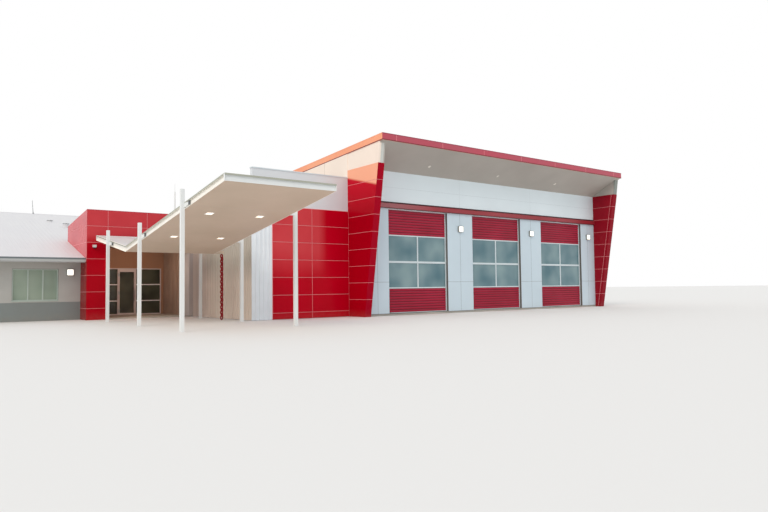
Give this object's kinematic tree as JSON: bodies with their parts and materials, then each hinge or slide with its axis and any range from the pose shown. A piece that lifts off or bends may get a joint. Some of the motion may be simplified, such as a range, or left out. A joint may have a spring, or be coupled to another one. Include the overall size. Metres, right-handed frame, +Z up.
{
  "type": "fire station building",
  "caption": "Fire station: tall hall with ribbed red bay doors between leaning red blades, low panelled block, butterfly canopy on posts, recessed glazed entry and a gabled wing.",
  "frame": {"origin": "ground level under the middle of the appliance hall's floor slab", "axes": "+X along the street front to the right as seen from the street, +Y back from the street, +Z up"},
  "size_m": [35.136, 37.293, 7.715],
  "materials": {
    "concrete": "matt floated concrete",
    "pale_panel": "pale blue-grey satin panels",
    "cream_panel": "cream satin panels",
    "red_panel": "deep red gloss panels",
    "white_trim": "white satin",
    "grey_lining": "warm grey satin sheet",
    "canopy_lining": "beige satin sheet",
    "roof_sheet": "light grey ribbed sheet",
    "door_glass": "grey-tinted clear glass",
    "frame_alloy": "satin anodised",
    "render_wall": "beige rendered wall",
    "lens": "opal lens",
    "dark_housing": "dark gloss",
    "steel_fitting": "brushed steel"
  },
  "bodies": {
    "building": {"bay_door_frames": "white_trim", "bay_door_glass": "door_glass", "bay_door_ribs": "red_panel", "blade_caps": "cream_panel", "blades": "red_panel", "camera_dome": "dark_housing", "canopy_back_lining": "canopy_lining", "canopy_downlights": "lens", "canopy_end_beams": "white_trim", "canopy_front_lining": "canopy_lining", "canopy_post_cleats": "white_trim", "canopy_posts": "white_trim", "canopy_roof": "roof_sheet", "canopy_side_beams": "white_trim", "door_hood": "red_panel", "entry_frame_hinges": "steel_fitting", "entry_head": "red_panel", "entry_head_roof": "roof_sheet", "entry_leg": "red_panel", "entry_screen_frame": "frame_alloy", "entry_screen_glass": "door_glass", "entry_side_walls": "render_wall", "entry_wall_over": "render_wall", "front_lining": "grey_lining", "front_piers": "pale_panel", "hall_floor": "concrete", "hall_rear_wall": "cream_panel", "hall_roof": "roof_sheet", "hall_side_walls": "cream_panel", "low_floor": "concrete", "low_front_wall": "pale_panel", "low_rear_wall": "pale_panel", "low_roof": "roof_sheet", "low_side_wall": "pale_panel", "low_upper_wall": "pale_panel", "parapet_coping": "white_trim", "porch_ceiling": "canopy_lining", "porch_side_wall": "render_wall", "rain_chain": "red_panel", "red_front_panels": "red_panel", "ribbed_sheets": "white_trim", "roof_fascia": "red_panel", "roof_vents": "roof_sheet", "sign_band_wall": "pale_panel", "valley_gutter": "roof_sheet", "wall_lights": "lens", "wing_end_walls": "render_wall", "wing_front_wall": "render_wall", "wing_gutters": "grey_lining", "wing_rear_wall": "render_wall", "wing_ridge_cap": "roof_sheet", "wing_roof_front": "roof_sheet", "wing_roof_rear": "roof_sheet", "wing_window_frames": "frame_alloy", "wing_window_glass": "door_glass"},
    "entry_door": {"entry_door_leaf": "frame_alloy", "entry_door_glass": "door_glass", "entry_door_fittings": "steel_fitting"}
  },
  "joints": [
    {"name": "entry_door_swing", "type": "hinge", "parent": "building", "child": "entry_door", "pos_m": [-15.7455, 2.987, 1.16], "axis": [0, 0, -1], "range_deg": [0, 90]}
  ]
}
